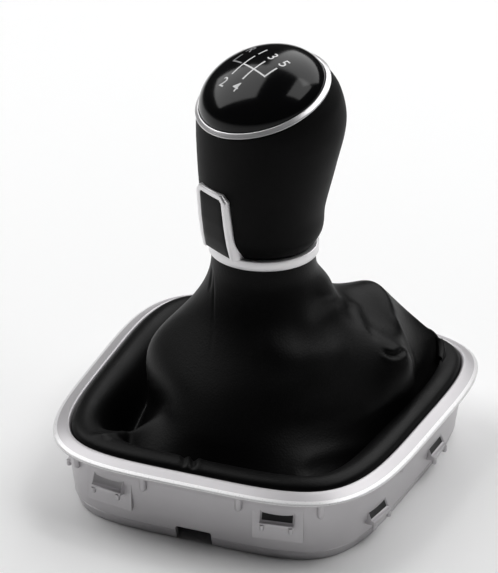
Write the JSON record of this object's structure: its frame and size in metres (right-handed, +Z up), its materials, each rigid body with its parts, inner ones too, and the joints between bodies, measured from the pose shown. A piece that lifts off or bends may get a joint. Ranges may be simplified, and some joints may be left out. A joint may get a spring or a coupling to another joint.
{
  "type": "gear shift knob with gaiter and frame",
  "caption": "Manual gear shift knob with a gloss cap, leather grip and silver trims, on a leather gaiter held in a clip-in silver console frame.",
  "frame": {"origin": "centre of the frame's bounding box, at the foot of the skirt", "axes": "+Z up along the gear lever, +Y towards the dashboard (the wide end of the frame), +X to the driver's right"},
  "size_m": [0.141, 0.149, 0.1644],
  "materials": {
    "silver_paint": "satin silver paint on a plastic moulding",
    "black_plastic": "matte",
    "gaiter_leather": "soft, fine grain",
    "grip_leather": "smooth, fine grain",
    "satin_trim": "satin",
    "gloss_black": "high gloss",
    "sleeve_metal": "turned",
    "clamp_steel": "plain strip"
  },
  "bodies": {
    "frame": {"bezel_frame": "silver_paint", "gaiter_retainer": "black_plastic"},
    "boot": {"gaiter": "gaiter_leather"},
    "knob": {"gaiter_neck_ring": "black_plastic", "lower_trim": "satin_trim", "window_inlay": "gloss_black", "leather_cover": "grip_leather", "knob_core": "black_plastic", "upper_trim_ring": "satin_trim", "cap_dome": "gloss_black", "lever_sleeve": "sleeve_metal", "lever_clamp": "clamp_steel"}
  },
  "joints": [
    {"name": "shift_fore_aft", "type": "hinge", "parent": "frame", "child": "boot", "pos_m": [0, 0, -0.07], "axis": [1, 0, 0], "range_deg": [-13, 13], "deforming": ["gaiter"]},
    {"name": "select_left_right", "type": "hinge", "parent": "boot", "child": "knob", "pos_m": [0, 0, -0.07], "axis": [0, 1, 0], "range_deg": [-11.5, 5.7], "deforming": ["gaiter"]}
  ]
}
